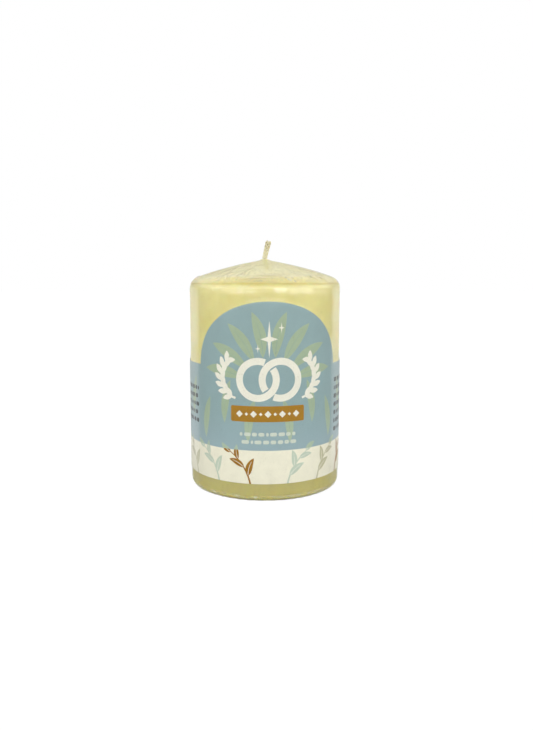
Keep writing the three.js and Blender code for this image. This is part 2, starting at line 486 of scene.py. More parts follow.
def dome_pleats(s, from_axis, x, y):
    """Fine lines that run out from the wick hole, 0 to 1."""
    turn = s.times(s.maths("ARCTAN2", x, s.times(y, -1.0)), 7.0)
    ray = s.node("CombineXYZ", X=s.times(from_axis, 0.13), Y=turn)
    pleats = s.node("TexNoise", Vector=ray, Scale=1.0, Detail=3.0, Distortion=0.4).outputs["Fac"]
    line = s.spread(s.maths("ABSOLUTE", s.maths("SUBTRACT", pleats, 0.5)), 0.0, 0.035, 1.0, 0.0)
    return s.times(line, s.spread(from_axis, 5, 12))


def film_material():
    """Clear film: it shows what is behind it, mirrors at a slant, and turns milky in its folds.
    Two point attributes drive it: one says how milky it is, with painted highlights added as
    white, and the other is painted shade that darkens what shows through its folds."""
    s = Shader("clear_film")
    x, y, z = s.parts(s.place())
    on_dome = s.spread(z, CREASE_HEIGHT, CREASE_HEIGHT + 2.5)
    line = s.times(dome_pleats(s, s.length(x, y), x, y), on_dome)
    ripple = s.bump(s.grain(3.5, detail=2), 0.03, s.bump(s.grain(0.5, detail=2), 0.004))
    ripple = s.bump(line, 0.12, ripple)
    mirror = s.node("Fresnel", IOR=FILM_IOR, Normal=ripple).outputs[0]
    both_faces = s.maths("DIVIDE", s.times(mirror, 2.0), s.plus(mirror, 1.0))
    both_faces = s.maths("MINIMUM", both_faces, MOST_MIRRORED)
    haze_and_glints, fold = (s.node("Attribute", {"attribute_name": name}).outputs["Fac"] for name in ("haze_and_glints", "fold"))
    specks = s.spread(s.grain(0.8, detail=3), 0.45, 0.75)
    # Painted highlights: scattered small white specks on the film.
    painted_specks = s.spread(s.grain(0.7, detail=1), 0.7, 0.76)
    haze_and_glints = s.plus(s.times(haze_and_glints, s.plus(0.6, specks)), s.times(line, 0.1))
    haze_and_glints = s.plus(haze_and_glints, s.times(painted_specks, 0.16), clamp=True)
    clear = s.node("BsdfTransparent", Color=s.mixed(fold, CLEAR, CLEAR_WITH_PAINTED_FOLD_SHADE))
    milk = s.node("BsdfDiffuse", Color=MILKY, Normal=ripple)
    crumple = s.between(on_dome, 0.16, 0.24)
    gloss = s.node("BsdfGlossy", Color=(1, 1, 1, 1), Roughness=crumple, Normal=ripple)
    front = s.layered(both_faces, s.layered(haze_and_glints, clear, milk), gloss)
    inside = s.node("NewGeometry").outputs["Backfacing"]
    return s.finish(s.layered(inside, front, clear))


# ---------------------------------------------------------------- wax


def wax_skin():
    """The dipped skin: a shell with a slightly uneven outside and a small collar of wax where
    the wick comes through."""
    columns = 240
    outer = pillar_outline(BORE_RADIUS, WAX_RADIUS - SKIN_THICKNESS)
    inner = pillar_outline(BORE_RADIUS, WAX_RADIUS - SKIN_THICKNESS, SKIN_THICKNESS, steps=HIDDEN_STEPS)
    wall = inner[inner[:, 1] > WAX_BASE + WAX_EDGE_ROUND][::-1]
    points = turned(np.concatenate([outer, wall]), columns)
    normals = outline_normals(outer)
    angles = np.arange(columns) * TURN / columns
    face = points[: len(outer)]
    uneven = 0.16 * noise_at(face, 16, 1) + 0.05 * noise_at(face, 5, 2)
    collar = 0.5 * np.exp(-((outer[:, 0:1] - BORE_RADIUS) / 1.1) ** 2) * (outer[:, 1:2] > TOP_HALF)
    free = ramp(outer[:, 1:2], WAX_BASE, WAX_BASE + 3)
    drop = -0.1 + uneven * free + collar
    face += drop[..., None] * place(angles[None, :], normals[:, 0:1], normals[:, 1:2])
    return closed_piece("wax_dipped_skin", points, 60)


def wax_core():
    """The pressed core, with its wick bore and the recess for the tab."""
    columns = 160
    radius = core_high.x
    dome = pillar_outline(BORE_RADIUS, radius, SKIN_THICKNESS + 0.02, steps=HIDDEN_STEPS)
    dome = dome[dome[:, 1] > WAX_BASE + WAX_EDGE_ROUND]
    recess = tab_high.x + 0.25
    roof = WAX_BASE + 0.55
    neck, neck_roof = 1.9, tab_high.z + 0.25
    corners_of_base = [
        (radius, WAX_BASE + 0.3),
        (radius - 0.3, WAX_BASE),
        (recess + 0.3, WAX_BASE),
        (recess, WAX_BASE + 0.2),
        (recess, roof),
        (neck, roof),
        (neck, neck_roof),
        (BORE_RADIUS, neck_roof),
        (BORE_RADIUS, dome[0][1]),
    ]
    outline = list(dome)
    for start, end in zip(corners_of_base, corners_of_base[1:]):
        outline += evenly(start, end, 1.2)
    points = turned(np.array(outline), columns)
    low = points[..., 2] < WAX_BASE + 0.1
    points[..., 2] += np.where(low, 0.06 * np.abs(noise_at(points, 1.3, 3)), 0)
    return closed_piece("wax_pressed_core", points, 50)


# ---------------------------------------------------------------- tab and wick


def wick_tab():
    """A stamped disc with a raised ring, and a neck crimped on four sides round the wick."""
    columns = 96
    thick = 0.3
    bore = WICK_RADIUS + 0.05
    bottom, neck_top, rim = tab_low.z, tab_high.z, tab_high.x
    ridge = 0.14
    outline = []
    for r in np.linspace(bore, rim - 0.1, 26):
        outline.append((r, bottom + ridge * math.exp(-((r - 4.6) / 0.5) ** 2)))
    outline += [(rim, bottom + 0.1), (rim, bottom + thick - 0.1), (rim - 0.1, bottom + thick)]
    for r in np.linspace(rim - 0.3, 2.1, 22):
        outline.append((r, bottom + thick + ridge * math.exp(-((r - 4.6) / 0.5) ** 2)))
    for z in np.linspace(bottom + thick + 0.3, neck_top - 0.05, 16):
        outline.append((1.62, z))
    outline += [(1.56, neck_top), (bore + 0.04, neck_top)]
    for z in np.linspace(neck_top - 0.1, bottom + 0.2, 14):
        outline.append((bore, z))
    outline = np.array(outline)
    points = turned(outline, columns)
    angles = np.arange(columns) * TURN / columns
    on_neck = (outline[:, 0] < 1.7)[:, None] * ramp(outline[:, 1:2], bottom + 1.2, bottom + 2.6)
    off_top = 1 - ramp(outline[:, 1:2], neck_top - 0.9, neck_top)
    crimp = 1 - 0.13 * on_neck * off_top * np.cos(2 * angles[None, :]) ** 8
    points[..., 0] *= crimp
    points[..., 1] *= crimp
    return closed_piece("wick_tab_stamped", points, 35)


WICK_STRANDS = 8
BRAID_PITCH = 6.4
YARN_RADIUS = 0.37
MIDDLE_YARN_RADIUS = 0.62
FRAYED_HAIRS = 18
BRAID_RADIUS = 0.78
BRAID_WEAVE = 0.12
WICK_CURL = math.radians(3)  # how much the lean grows from the wax to the tip


def wick_line(distance):
    """Centre of the wick at distances from its foot, and its lean there."""
    steps = np.arange(0, 130, 0.1)
    height = stem_low.z + steps
    lean = WICK_LEAN * ramp(height, BEND_START, BEND_END)
    share = np.clip((height - PIVOT.z) / (tip_high.z - PIVOT.z), 0, 1.1)
    lean = lean + WICK_CURL * (share - 0.5) * (lean > 0)
    x = np.cumsum(np.sin(lean)) * 0.1
    z = stem_low.z + np.cumsum(np.cos(lean)) * 0.1
    return [np.interp(distance, steps, values) for values in (x, z, lean)]


def beside_wick(distance, out, turn):
    """Points at distances from the wick's foot, off its centre by out, at angles round it."""
    x, z, lean = wick_line(distance)
    side, depth = out * np.cos(turn), out * np.sin(turn)
    return np.stack([x + side * np.cos(lean), depth, z - side * np.sin(lean)], axis=1)


def tube(centres, widths, sides=7):
    """Vertices and faces of a closed tube along centres, an array of points."""
    along = np.gradient(centres, axis=0)
    along /= np.linalg.norm(along, axis=1, keepdims=True)
    across = np.cross(along, np.array([0.3, 1.0, 0.2]))
    across /= np.linalg.norm(across, axis=1, keepdims=True)
    over = np.cross(along, across)
    turn = np.arange(sides) * TURN / sides
    circle = across[:, None] * np.cos(turn)[None, :, None] + over[:, None] * np.sin(turn)[None, :, None]
    rings = centres[:, None] + circle * np.asarray(widths)[:, None, None]
    vertices = rings.reshape(-1, 3)
    faces = ring_faces(len(centres), sides)[: (len(centres) - 1) * sides]
    last = (len(centres) - 1) * sides
    faces.append(list(range(sides))[::-1])
    faces.append(list(range(last, last + sides)))
    return vertices, faces


def wick():
    """One braided cord from the tab to the cut tip, bent where it leaves the wax."""
    bare = (tip_high.z - PIVOT.z) / math.cos(WICK_LEAN)
    length = PIVOT.z - stem_low.z + bare - 0.5
    vertices, faces = [], []

    def join(part):
        first = len(vertices)
        vertices.extend(part[0].tolist())
        faces.extend([[i + first for i in face] for face in part[1]])

    for strand in range(WICK_STRANDS):
        way = 1 if strand < WICK_STRANDS // 2 else -1
        cut = length - random.uniform(0, 0.5)
        low, high = np.linspace(0, length - 14, 130, endpoint=False), np.linspace(length - 14, cut, 66)
        distance = np.concatenate([low, high])
        turn = way * TURN * distance / BRAID_PITCH + TURN * (strand % 4) / 4
        loose = 1 + 0.13 * ramp(distance, length - 7, length - 1)
        out = loose * (BRAID_RADIUS + way * BRAID_WEAVE * np.cos(4 * TURN * distance / BRAID_PITCH))
        widths = YARN_RADIUS * loose
        widths[-3:] *= (0.95, 0.8, 0.5)
        join(tube(beside_wick(distance, out, turn), widths))
    middle = np.linspace(0.1, length - 0.5, 120)
    join(tube(beside_wick(middle, 0.0, 0.0 * middle), np.full(len(middle), MIDDLE_YARN_RADIUS), 10))
    for _ in range(FRAYED_HAIRS):
        start = length - random.uniform(0.0, 7.0) * random.random()
        angle = random.uniform(0, TURN)
        reach = random.uniform(0.25, 0.9)
        t = np.linspace(0, 1, 6)
        distance = start + t * reach * random.uniform(0.2, 0.9)
        out = 0.8 + t**1.5 * reach * random.uniform(0.25, 0.6)
        swing = angle + t * random.uniform(-0.6, 0.6)
        join(tube(beside_wick(distance, out, swing), np.linspace(0.035, 0.02, 6), 4))
    return new_piece("wick_braid", vertices, faces, 80)


# ---------------------------------------------------------------- the label's artwork
# Everything printed is a closed outline in millimetres: across from the front's centreline,
# and up from the table.


def stroke(line, width):
    """Outline of a band along a line of points. Width is one number or one for each point."""
    line = np.asarray(line, float)
    along = np.gradient(line, axis=0)
    along /= np.maximum(np.linalg.norm(along, axis=1, keepdims=True), 1e-9)
    across = np.stack([-along[:, 1], along[:, 0]], axis=1)
    half = (np.ones(len(line)) * width / 2)[:, None]
    left, right = line + across * half, line - across * half
    outline = np.concatenate([left, right[::-1]])
    keep = [0]
    for i in range(1, len(outline)):
        if np.linalg.norm(outline[i] - outline[keep[-1]]) > 0.02:
            keep.append(i)
    return outline[keep]


def curve(start, end, bow, count=9):
    """Points from start to end that bow sideways by a share of the length."""
    start, end = np.array(start, float), np.array(end, float)
    along = end - start
    middle = (start + end) / 2 + np.array([-along[1], along[0]]) * bow * 2
    t = np.linspace(0, 1, count)[:, None]
    return (1 - t) ** 2 * start + 2 * t * (1 - t) * middle + t**2 * end


def from_polar(origin, angle_deg, distance):
    a = math.radians(angle_deg)
    return (origin[0] + distance * math.cos(a), origin[1] + distance * math.sin(a))


def arc(centre, radius, start_deg, end_deg, count=24):
    angles = np.radians(np.linspace(start_deg, end_deg, count))
    return np.stack([centre[0] + radius * np.cos(angles), centre[1] + radius * np.sin(angles)], axis=1)


class Artwork:
    """The shapes printed on the label, in the order they are laid down."""

    def __init__(self):
        self.shapes = []

    def fill(self, ink, outline):
        """Lays down one shape, its outline turned to run anticlockwise."""
        outline = np.asarray(outline, float)
        x, y = outline[:, 0], outline[:, 1]
        if x @ np.roll(y, -1) < y @ np.roll(x, -1):
            outline = outline[::-1]
        self.shapes.append((ink, outline))

    def leaf(self, ink, start, end, width, bow=0.08, rib=None, full=0.42):
        """A willow leaf, widest a little before its middle, with a rib if one is named."""
        t = np.linspace(0, 1, 11)
        line = curve(start, end, bow, 11)
        power = math.log(0.5) / math.log(full)
        self.fill(ink, stroke(line, width * np.sin(math.pi * t**power) ** 0.8))
        if rib:
            span = curve(start, end, bow, 15)[1:12]
            self.fill(rib, stroke(span, 0.09 * width * np.linspace(1, 0.3, 11) + 0.05))

    def sprig(self, ink, start, end, leaves, length, width, spread=32, bow=0.1, rib=None, stem=0.7):
        """A stem with leaves on alternate sides and one at its tip."""
        line = curve(start, end, bow, 2 * leaves + 3)
        self.fill(ink, stroke(line, np.linspace(stem, stem * 0.5, len(line))))
        for i in range(leaves):
            node = line[2 * i + 2]
            ahead = line[2 * i + 2] - line[2 * i + 1]
            heading = math.degrees(math.atan2(ahead[1], ahead[0]))
            side = 1 if i % 2 else -1
            size = 1 - 0.35 * i / leaves
            tip = from_polar(node, heading + side * spread, length * size)
            self.leaf(ink, node, tip, width * size, bow=-0.09 * side, rib=rib)
        ahead = line[-1] - line[-2]
        heading = math.degrees(math.atan2(ahead[1], ahead[0]))
        self.leaf(ink, line[-1], from_polar(line[-1], heading, length * 0.7), width * 0.8, rib=rib)


BLUE_BOTTOM = 22.7  # where the blue ground ends and the cream band starts

FAN_CENTRE = (0.0, 52.0)
FAN_ANGLES = (10, 32, 54, 76)  # above the level, on each side
BAND_INKS = (("brown", "cream"), ("mint", "mint_rib"), ("olive", "cream"))


def green_leaves(art):
    """Pale willow leaves: a mirrored fan behind the title, and staggered ones all round."""
    for side in (-1, 1):
        for angle in FAN_ANGLES:
            turn = angle if side > 0 else 180 - angle
            foot, tip = from_polar(FAN_CENTRE, turn, 11), from_polar(FAN_CENTRE, turn, 31)
            art.leaf("leaf", foot, tip, 5.0, 0.06 * side, "leaf_rib", 0.5)
        for number in range(10):
            across, high = side * (6 + 11 * number), (45, 53)[number % 2]
            foot, tip = (across, high), (across + 3 * side, high - 19)
            art.leaf("leaf", foot, tip, 3.8, 0.06 * side, "leaf_rib", 0.5)


def foreground_leaves(art):
    """A row of sprigs on the cream band, evenly spaced and leaning away from the front."""
    for side in (-1, 1):
        for number in range(7):
            ink, rib = BAND_INKS[(number + (side > 0)) % len(BAND_INKS)]
            across = side * (8 + 15 * number)
            foot, tip = (across, 7.0), (across + 9 * side, 21.5)
            art.sprig(ink, foot, tip, 3, 8.5, 3.0, spread=36, bow=0.1 * side, rib=rib, stem=0.8)


def linked_rings(art, centre, radius, width, apart):
    """Two rings, each passing over the other once."""
    meet = math.degrees(math.acos(apart / radius))
    gap = math.degrees(width * 0.74 / radius)
    left, right = (centre[0] - apart, centre[1]), (centre[0] + apart, centre[1])
    art.fill("title", stroke(arc(left, radius, meet + gap, meet + 360 - gap, 56), width))
    start = 180 + meet + gap
    art.fill("title", stroke(arc(right, radius, start, start + 360 - 2 * gap, 56), width))


def laurel(art, side):
    """A curved spray of short leaves beside the rings."""
    line = arc((side * 11.0, 54.4), 9.4, 270 + 14 * side, 270 + 142 * side, 15)
    line[:, 0] = side * 12.4 + (line[:, 0] - side * 11.0)
    art.fill("title", stroke(line, np.linspace(1.0, 0.4, 15)))
    for i in range(1, 14, 2):
        ahead = line[i + 1] - line[i - 1]
        heading = math.degrees(math.atan2(ahead[1], ahead[0]))
        for turn in (36, -36):
            tip = from_polar(line[i], heading + turn, 4.7)
            art.leaf("title", line[i], tip, 2.3, bow=0.06 * (1 if turn < 0 else -1), full=0.5)


def star(art, centre, height, width):
    """A slender four-pointed sparkle."""
    points = []
    for i in range(8):
        angle = TURN * i / 8
        far = i % 2 == 0
        across = (width / 2 if far else width * 0.13) * math.cos(angle)
        up = (height / 2 if far else width * 0.2) * math.sin(angle)
        points.append((centre[0] + across, centre[1] + up))
    art.fill("title", points)


def rounded_box(low, high, corner, count=6):
    """Outline of a box with rounded corners."""
    (x0, y0), (x1, y1) = low, high
    left, right, bottom, top = x0 + corner, x1 - corner, y0 + corner, y1 - corner
    middles = ((right, top), (left, top), (left, bottom), (right, bottom))
    arcs = [arc(m, corner, 90 * i, 90 * i + 90, count) for i, m in enumerate(middles)]
    return np.concatenate(arcs)


def plaque(art):
    """A small brown panel with a row of lozenges."""
    art.fill("plaque", rounded_box((-16.8, 35.2), (15.7, 42.1), 0.7))
    for i in range(-4, 5):
        x, z = i * 3.1 - 0.5, 38.6
        reach = 1.5 if i % 2 == 0 else 0.75
        art.fill("title", [(x + reach, z), (x, z + reach), (x - reach, z), (x, z - reach)])


def dashes(art, ink, start, end, height, thick, seed):
    """A rule broken into short dashes of uneven length."""
    pick = random.Random(seed)
    x = start
    while x < end - 0.8:
        length = min(pick.uniform(0.9, 3.4), end - x)
        low, high = (x, height - thick / 2), (x + length, height + thick / 2)
        art.fill(ink, rounded_box(low, high, thick * 0.35, 3))
        x += length + pick.uniform(0.55, 0.8)


def label_artwork():
    art = Artwork()
    green_leaves(art)
    foreground_leaves(art)
    linked_rings(art, (0, 53.4), 7.9, 3.0, 4.9)
    laurel(art, -1)
    laurel(art, 1)
    star(art, (0, 70.6), 15.6, 7.4)
    star(art, (5.2, 75.4), 4.6, 2.6)
    star(art, (-4.8, 66.6), 3.6, 2.2)
    plaque(art)
    dashes(art, "faint", -12.8, 12.4, 29.8, 1.6, 1)
    dashes(art, "faint", -12.0, 12.2, 26.4, 1.6, 2)
    for row in range(5):
        dashes(art, "print", -66, -36.8, 47.4 - 3.7 * row, 1.9, 10 + row)
    for row in range(7):
        dashes(art, "print", 36.2, 66, 50.8 - 3.8 * row, 2.0, 20 + row)
    return art


INKS = {
    "paper": linear(244, 242, 234),
    "ground": linear(147, 175, 178),
    "cream": linear(246, 243, 222),
    "leaf": linear(168, 188, 156),
    "leaf_rib": linear(158, 181, 158),
    "leaf_on_cream": linear(185, 182, 142),
    "brown": linear(162, 112, 4),
    "mint": linear(200, 213, 194),
    "mint_rib": linear(236, 238, 222),
    "olive": linear(198, 195, 160),
    "plaque": linear(174, 126, 4),
    "title": linear(245, 243, 228),
    "faint": linear(214, 223, 208),
    "print": linear(22, 48, 50),
}
MATT_INKS = ("brown", "plaque", "print")
INKS_AT_FOOT = {"ground": linear(156, 181, 188), "leaf": linear(181, 200, 174)}


def label_top(across):
    """Height of the label's top edge."""
    share = np.minimum(1, np.abs(across) / ARCH_HALF_WIDTH)
    return BAND_TOP + (ARCH_TOP - BAND_TOP) * np.sqrt(1 - share**2)


def label_outline():
    end = LABEL_HALF_LENGTH
    arch = arc((0, 0), 1.0, 0, 180, 61) * (ARCH_HALF_WIDTH, ARCH_TOP - BAND_TOP) + (0, BAND_TOP)
    return np.array([(-end, LABEL_BOTTOM), (end, LABEL_BOTTOM), (end, BAND_TOP), *arch, (-end, BAND_TOP)])


def label_lift(across):
    """How far the upper end stands off to lie on the lower end."""
    lap = math.pi * LABEL_OUTER - LAP_WIDTH / 2
    return LAP_LIFT * ramp(across, lap - 3, lap)


def wrap(flat, depth=0.0):
    """Points of the flat label bent round the candle, depth below its printed face."""
    angle = flat[:, 0] / LABEL_OUTER
    return place(angle, LABEL_OUTER - depth + label_lift(flat[:, 0]), flat[:, 1])


# Inks that turn to another where they cross the edge of the cream band.
ON_CREAM = {"leaf": "leaf_on_cream", "leaf_rib": "leaf_on_cream"}
ON_BLUE = {"brown": "leaf", "mint": "leaf", "olive": "leaf", "cream": "leaf_rib", "mint_rib": "leaf_rib"}


def ink_of(names, cream_band):
    """The ink that shows where these shapes lie over each other."""
    top = names[-1] if names else "cream" if cream_band else "ground"
    return (ON_CREAM if cream_band else ON_BLUE).get(top, top)


def paper_label():
    """The printed wrap: a thin closed sheet whose face is cut along every printed outline."""
    shapes = label_artwork().shapes
    points, edges, loops = [], [], []

    def lay(outline):
        first = len(points)
        points.extend(Vector(p) for p in np.asarray(outline).tolist())
        loops.append(list(range(first, len(points))))

    lay(label_outline())
    end = LABEL_HALF_LENGTH
    lay([(-end, LABEL_BOTTOM), (end, LABEL_BOTTOM), (end, BLUE_BOTTOM), (-end, BLUE_BOTTOM)])
    for _, outline in shapes:
        lay(outline)
    columns = 150
    for i in range(1, columns):
        across = -end + 2 * end * i / columns
        edges.append((len(points), len(points) + 1))
        points.extend((Vector((across, LABEL_BOTTOM)), Vector((across, float(label_top(across))))))
    found = delaunay_2d_cdt(points, edges, loops, 1, 1e-4)
    flat, triangles, inside = found[0], found[2], found[5]
    kept, inks = [], []
    for triangle, owners in zip(triangles, inside):
        if 0 in owners:
            names = [shapes[o - 2][0] for o in sorted(owners) if o > 1]
            kept.append(list(triangle))
            inks.append(ink_of(names, 1 in owners))
    used = sorted({i for triangle in kept for i in triangle})
    renumber = {old: new for new, old in enumerate(used)}
    flat = np.array([flat[i][:] for i in used])
    kept = [[renumber[i] for i in triangle] for triangle in kept]
    count = len(flat)
    vertices = np.concatenate([wrap(flat), wrap(flat, LABEL_THICKNESS)])
    back = [[i + count for i in reversed(triangle)] for triangle in kept]
    sides = {}  # the triangles' sides that only one of them has, in order
    for triangle in kept:
        for a, b in zip(triangle, triangle[1:] + triangle[:1]):
            if sides.pop((b, a), None) is None:
                sides[(a, b)] = True
    rim = [[b, a, a + count, b + count] for a, b in sides]
    piece = new_piece("label_wrap", vertices, kept + back + rim, 50)
    slots = {}
    for name, colour in INKS.items():
        slots[name] = len(piece.data.materials)
        sheen = 0.1 if name in MATT_INKS else 0.35
        piece.data.materials.append(ink_material("label_" + name, colour, INKS_AT_FOOT.get(name), sheen))
    faces = [slots[ink] for ink in inks] + [slots["paper"]] * (len(back) + len(rim))
    piece.data.polygons.foreach_set("material_index", faces)
    return piece


def glue_strip():
    """A pressed line of hot-melt with wavy edges, between the label's two ends."""
    rows, columns = 60, 8
    inner = LABEL_OUTER + 0.03
    thick = 0.06
    heights = np.linspace(glue_low.z, glue_high.z, rows)
    wave = 0.45 * np.sin(heights * 0.55) + 0.25 * np.sin(heights * 1.3 + 1)
    half = glue_high.x - 0.7 + wave
    across = np.linspace(-1, 1, columns)[None, :] * half[:, None]
    angle = math.pi + across / inner
    front = place(angle, inner + thick, heights[:, None] + 0 * angle)
    rear = place(angle, inner, heights[:, None] + 0 * angle)
    loop = np.concatenate([front, rear[:, ::-1]], axis=1)
    sides = 2 * columns
    faces = ring_faces(rows, sides)[: (rows - 1) * sides]
    faces += [list(range(sides)), list(range((rows - 1) * sides, rows * sides))]
    return new_piece("label_glue_line", loop.reshape(-1, 3), faces, 40)


# ---------------------------------------------------------------- shrink film


def inside_label(across, height):
    """Distance inside the label's edge, in millimetres, negative outside it."""
    rise = ARCH_TOP - BAND_TOP
    x, y = across / ARCH_HALF_WIDTH, (height - BAND_TOP) / rise
    size = np.sqrt(x**2 + y**2) + 1e-6
    slope = np.sqrt((x / ARCH_HALF_WIDTH) ** 2 + (y / rise) ** 2) / size + 1e-6
    in_arch = np.where(height > BAND_TOP - 8, (1 - size) / slope, -50)
    return np.minimum(height - LABEL_BOTTOM, np.maximum(BAND_TOP - height, in_arch))


def crease(x, y, start, end, bow, height, width, sharp=0.6):
    """A fold along a bowed line: a ridge steeper on one side that fades at both ends."""
    line = curve(start, end, bow, 12)
    best = np.full(np.shape(x), 1e9)
    at = np.zeros(np.shape(x))
    side = np.ones(np.shape(x))
    for i in range(len(line) - 1):
        a, b = line[i], line[i + 1]
        d = b - a
        t = np.clip(((x - a[0]) * d[0] + (y - a[1]) * d[1]) / (d @ d), 0, 1)
        dx, dy = x - a[0] - t * d[0], y - a[1] - t * d[1]
        far = np.hypot(dx, dy)
        closer = far < best
        best = np.where(closer, far, best)
        at = np.where(closer, (i + t) / (len(line) - 1), at)
        side = np.where(closer, np.sign(dx * d[1] - dy * d[0]), side)
    spread = width * np.where(side > 0, sharp, 1.0)
    return height * np.exp(-((best / spread) ** 2)) * np.sin(math.pi * np.clip(at, 0.02, 0.98)) ** 0.6


DOME_CREASES = (
    ((-13.5, -30.6), (3.5, -32.8), -0.06, 0.24, 0.5),
    ((-11, -32.2), (2.5, -33.8), -0.05, 0.2, 0.4),
    ((-9, -29.6), (5, -31.2), -0.05, 0.2, 0.6),
    ((-17, -26), (-10, -9), 0.05, 0.3, 0.7),
    ((-14, -29.4), (-4.6, -16.4), -0.04, 0.32, 0.7),
    ((-20.5, -27), (-13.6, -21.4), 0.05, 0.28, 0.6),
    ((-11, -18), (-5.6, -7.6), 0.05, 0.26, 0.6),
    ((-23, -23.6), (-13, -12.6), 0.05, 0.28, 0.7),
    ((-18, -28.4), (-8.6, -19.6), -0.05, 0.24, 0.6),
    ((-26.5, -19), (-15, -7), 0.05, 0.28, 0.8),
    ((14.6, -27.6), (22.2, -26), 0.06, 0.28, 0.5),
    ((19.8, -25.4), (26.4, -22.2), 0.06, 0.28, 0.5),
    ((9, -25.6), (19.6, -20.6), 0.05, 0.22, 0.7),
    ((12.6, -17), (27, -16.4), 0.07, 0.28, 0.8),
    ((5.6, -11.6), (17.6, -17.4), -0.05, 0.2, 0.7),
    ((16, -10), (30, -10.6), -0.05, 0.28, 0.8),
)

# Painted highlights: small white marks on folds of the dome.
PAINTED_GLINTS = (
    ((6.8, -31.2), (9.6, -32.6), -0.08, 0.6, 0.5),
    ((9.2, -30.4), (10.8, -32.8), 0.05, 0.5, 0.45),
)


def from_above(radius, angle):
    return (radius * math.sin(angle), -radius * math.cos(angle))


def dome_creases(x, y):
    """Folds on top of the candle, seen from above: arcs along the front of the shoulder and
    pleats that run from the wick hole to the rim."""
    total = np.zeros(np.shape(x))
    for start, end, bow, height, width in DOME_CREASES:
        total += crease(x, y, start, end, bow, height, width)
    pick = random.Random(11)
    for i in range(26):
        angle = TURN * (i + pick.uniform(-0.3, 0.3)) / 26
        if i in (0, 25):
            continue  # the front is smooth near the wick
        near, far = pick.uniform(3.5, 12), pick.uniform(19, 33)
        turn = angle + pick.uniform(-0.25, 0.25)
        start, end = from_above(near, angle), from_above(far, turn)
        bow, depth, width = pick.uniform(-0.1, 0.1), pick.uniform(0.05, 0.15), pick.uniform(0.5, 1.0)
        total += crease(x, y, start, end, bow, depth, width)
    for _ in range(14):
        angle, radius = pick.uniform(0.7, TURN - 0.7), pick.uniform(22, 32)
        span = pick.uniform(0.15, 0.4)
        start, end = from_above(radius, angle), from_above(radius, angle + span)
        total += crease(x, y, start, end, pick.uniform(-0.12, 0), pick.uniform(0.1, 0.24), 0.9)
    return total


def side_creases(angle, height):
    """Slight upright stretch marks, closer together towards the foot."""
    angle, height = np.broadcast_arrays(angle, height)
    total = np.zeros(angle.shape)
    pick = random.Random(5)
    around = TURN * WAX_RADIUS
    for i in range(60):
        across = around * (i + pick.uniform(-0.4, 0.4)) / 60
        low = pick.uniform(0.5, 3)
        high = low + pick.uniform(3, 9)
        near = (angle * WAX_RADIUS - across + around / 2) % around - around / 2
        lean, depth, width = pick.uniform(-0.8, 0.8), pick.uniform(0.05, 0.13), pick.uniform(0.4, 0.9)
        total += crease(near, height, (0, low), (lean, high), 0.02, depth, width)
    return total


def hump(value, middle, width):
    """A smooth hump, 1 at its middle."""
    return np.exp(-(((value - middle) / width) ** 2))


